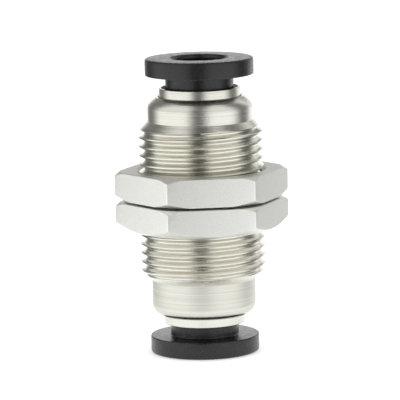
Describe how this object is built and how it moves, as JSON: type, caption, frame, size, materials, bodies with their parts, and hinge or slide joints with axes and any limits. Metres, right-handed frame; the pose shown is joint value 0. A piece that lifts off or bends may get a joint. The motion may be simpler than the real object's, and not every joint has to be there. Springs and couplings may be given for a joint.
{
  "type": "push to connect bulkhead fitting",
  "caption": "Straight bulkhead union for plastic tube: threaded plated body with hexagon nuts and a spring-loaded release sleeve at each end.",
  "frame": {"origin": "centre of the lower sleeve's outer face, where the fitting stands", "axes": "+Z along the axis of the fitting to the upper sleeve, -Y square to the front flats of both nuts, +X through their corners"},
  "size_m": [0.0196, 0.017, 0.0333],
  "materials": {
    "nickel_plate": "bright nickel plate with fine turning marks",
    "nut_nickel": "satin nickel plate",
    "black_plastic": "moulded acetal, soft gloss",
    "stainless": "pressed spring sheet",
    "white_plastic": "moulded acetal, natural",
    "rubber": "moulded nitrile rubber"
  },
  "bodies": {
    "fitting_body": {"body": "nickel_plate", "guide_ring_top": "nickel_plate", "grab_ring_top": "stainless", "spacer_ring_top": "white_plastic", "tube_seal_top": "rubber", "guide_ring_bottom": "nickel_plate", "grab_ring_bottom": "stainless", "spacer_ring_bottom": "white_plastic", "tube_seal_bottom": "rubber"},
    "lower_nut": {"lower_nut": "nut_nickel"},
    "upper_nut": {"upper_nut": "nut_nickel"},
    "release_sleeve_top": {"release_sleeve_top": "black_plastic"},
    "grab_tooth_top_1": {"grab_tooth_top_1": "stainless"},
    "grab_tooth_top_2": {"grab_tooth_top_2": "stainless"},
    "grab_tooth_top_3": {"grab_tooth_top_3": "stainless"},
    "grab_tooth_top_4": {"grab_tooth_top_4": "stainless"},
    "grab_tooth_top_5": {"grab_tooth_top_5": "stainless"},
    "grab_tooth_top_6": {"grab_tooth_top_6": "stainless"},
    "grab_tooth_top_7": {"grab_tooth_top_7": "stainless"},
    "grab_tooth_top_8": {"grab_tooth_top_8": "stainless"},
    "release_sleeve_bottom": {"release_sleeve_bottom": "black_plastic"},
    "grab_tooth_bottom_1": {"grab_tooth_bottom_1": "stainless"},
    "grab_tooth_bottom_2": {"grab_tooth_bottom_2": "stainless"},
    "grab_tooth_bottom_3": {"grab_tooth_bottom_3": "stainless"},
    "grab_tooth_bottom_4": {"grab_tooth_bottom_4": "stainless"},
    "grab_tooth_bottom_5": {"grab_tooth_bottom_5": "stainless"},
    "grab_tooth_bottom_6": {"grab_tooth_bottom_6": "stainless"},
    "grab_tooth_bottom_7": {"grab_tooth_bottom_7": "stainless"},
    "grab_tooth_bottom_8": {"grab_tooth_bottom_8": "stainless"}
  },
  "joints": [
    {"name": "upper_nut_travel", "type": "slide", "parent": "fitting_body", "child": "upper_nut", "axis": [0, 0, 1], "range_m": [0, 0.005]},
    {"name": "lower_nut_travel", "type": "slide", "parent": "fitting_body", "child": "lower_nut", "axis": [0, 0, 1], "range_m": [-0.005, 0]},
    {"name": "sleeve_press_top", "type": "slide", "parent": "fitting_body", "child": "release_sleeve_top", "axis": [0, 0, -1], "range_m": [0, 0.0011], "stiffness_N_per_m": 10000},
    {"name": "tooth_flex_top_1", "type": "hinge", "parent": "fitting_body", "child": "grab_tooth_top_1", "pos_m": [0.00397, 0.00165, 0.02573], "axis": [0.3827, -0.9239, 0], "range_deg": [0, 25]},
    {"name": "tooth_flex_top_2", "type": "hinge", "parent": "fitting_body", "child": "grab_tooth_top_2", "pos_m": [0.00165, 0.00397, 0.02573], "axis": [0.9239, -0.3827, 0], "range_deg": [0, 25]},
    {"name": "tooth_flex_top_3", "type": "hinge", "parent": "fitting_body", "child": "grab_tooth_top_3", "pos_m": [-0.00165, 0.00397, 0.02573], "axis": [0.9239, 0.3827, 0], "range_deg": [0, 25]},
    {"name": "tooth_flex_top_4", "type": "hinge", "parent": "fitting_body", "child": "grab_tooth_top_4", "pos_m": [-0.00397, 0.00165, 0.02573], "axis": [0.3827, 0.9239, 0], "range_deg": [0, 25]},
    {"name": "tooth_flex_top_5", "type": "hinge", "parent": "fitting_body", "child": "grab_tooth_top_5", "pos_m": [-0.00397, -0.00165, 0.02573], "axis": [-0.3827, 0.9239, 0], "range_deg": [0, 25]},
    {"name": "tooth_flex_top_6", "type": "hinge", "parent": "fitting_body", "child": "grab_tooth_top_6", "pos_m": [-0.00165, -0.00397, 0.02573], "axis": [-0.9239, 0.3827, 0], "range_deg": [0, 25]},
    {"name": "tooth_flex_top_7", "type": "hinge", "parent": "fitting_body", "child": "grab_tooth_top_7", "pos_m": [0.00165, -0.00397, 0.02573], "axis": [-0.9239, -0.3827, 0], "range_deg": [0, 25]},
    {"name": "tooth_flex_top_8", "type": "hinge", "parent": "fitting_body", "child": "grab_tooth_top_8", "pos_m": [0.00397, -0.00165, 0.02573], "axis": [-0.3827, -0.9239, 0], "range_deg": [0, 25]},
    {"name": "sleeve_press_bottom", "type": "slide", "parent": "fitting_body", "child": "release_sleeve_bottom", "axis": [0, 0, 1], "range_m": [0, 0.0011], "stiffness_N_per_m": 10000},
    {"name": "tooth_flex_bottom_1", "type": "hinge", "parent": "fitting_body", "child": "grab_tooth_bottom_1", "pos_m": [0.00397, -0.00165, 0.00752], "axis": [0.3827, 0.9239, 0], "range_deg": [0, 25]},
    {"name": "tooth_flex_bottom_2", "type": "hinge", "parent": "fitting_body", "child": "grab_tooth_bottom_2", "pos_m": [0.00165, -0.00397, 0.00752], "axis": [0.9239, 0.3827, 0], "range_deg": [0, 25]},
    {"name": "tooth_flex_bottom_3", "type": "hinge", "parent": "fitting_body", "child": "grab_tooth_bottom_3", "pos_m": [-0.00165, -0.00397, 0.00752], "axis": [0.9239, -0.3827, 0], "range_deg": [0, 25]},
    {"name": "tooth_flex_bottom_4", "type": "hinge", "parent": "fitting_body", "child": "grab_tooth_bottom_4", "pos_m": [-0.00397, -0.00165, 0.00752], "axis": [0.3827, -0.9239, 0], "range_deg": [0, 25]},
    {"name": "tooth_flex_bottom_5", "type": "hinge", "parent": "fitting_body", "child": "grab_tooth_bottom_5", "pos_m": [-0.00397, 0.00165, 0.00752], "axis": [-0.3827, -0.9239, 0], "range_deg": [0, 25]},
    {"name": "tooth_flex_bottom_6", "type": "hinge", "parent": "fitting_body", "child": "grab_tooth_bottom_6", "pos_m": [-0.00165, 0.00397, 0.00752], "axis": [-0.9239, -0.3827, 0], "range_deg": [0, 25]},
    {"name": "tooth_flex_bottom_7", "type": "hinge", "parent": "fitting_body", "child": "grab_tooth_bottom_7", "pos_m": [0.00165, 0.00397, 0.00752], "axis": [-0.9239, 0.3827, 0], "range_deg": [0, 25]},
    {"name": "tooth_flex_bottom_8", "type": "hinge", "parent": "fitting_body", "child": "grab_tooth_bottom_8", "pos_m": [0.00397, 0.00165, 0.00752], "axis": [-0.3827, 0.9239, 0], "range_deg": [0, 25]}
  ],
  "couplings": [
    {"joint": "tooth_flex_top_1", "follows": "sleeve_press_top", "rad_per_m": 380.8},
    {"joint": "tooth_flex_top_2", "follows": "sleeve_press_top", "rad_per_m": 380.8},
    {"joint": "tooth_flex_top_3", "follows": "sleeve_press_top", "rad_per_m": 380.8},
    {"joint": "tooth_flex_top_4", "follows": "sleeve_press_top", "rad_per_m": 380.8},
    {"joint": "tooth_flex_top_5", "follows": "sleeve_press_top", "rad_per_m": 380.8},
    {"joint": "tooth_flex_top_6", "follows": "sleeve_press_top", "rad_per_m": 380.8},
    {"joint": "tooth_flex_top_7", "follows": "sleeve_press_top", "rad_per_m": 380.8},
    {"joint": "tooth_flex_top_8", "follows": "sleeve_press_top", "rad_per_m": 380.8},
    {"joint": "tooth_flex_bottom_1", "follows": "sleeve_press_bottom", "rad_per_m": 380.8},
    {"joint": "tooth_flex_bottom_2", "follows": "sleeve_press_bottom", "rad_per_m": 380.8},
    {"joint": "tooth_flex_bottom_3", "follows": "sleeve_press_bottom", "rad_per_m": 380.8},
    {"joint": "tooth_flex_bottom_4", "follows": "sleeve_press_bottom", "rad_per_m": 380.8},
    {"joint": "tooth_flex_bottom_5", "follows": "sleeve_press_bottom", "rad_per_m": 380.8},
    {"joint": "tooth_flex_bottom_6", "follows": "sleeve_press_bottom", "rad_per_m": 380.8},
    {"joint": "tooth_flex_bottom_7", "follows": "sleeve_press_bottom", "rad_per_m": 380.8},
    {"joint": "tooth_flex_bottom_8", "follows": "sleeve_press_bottom", "rad_per_m": 380.8}
  ]
}
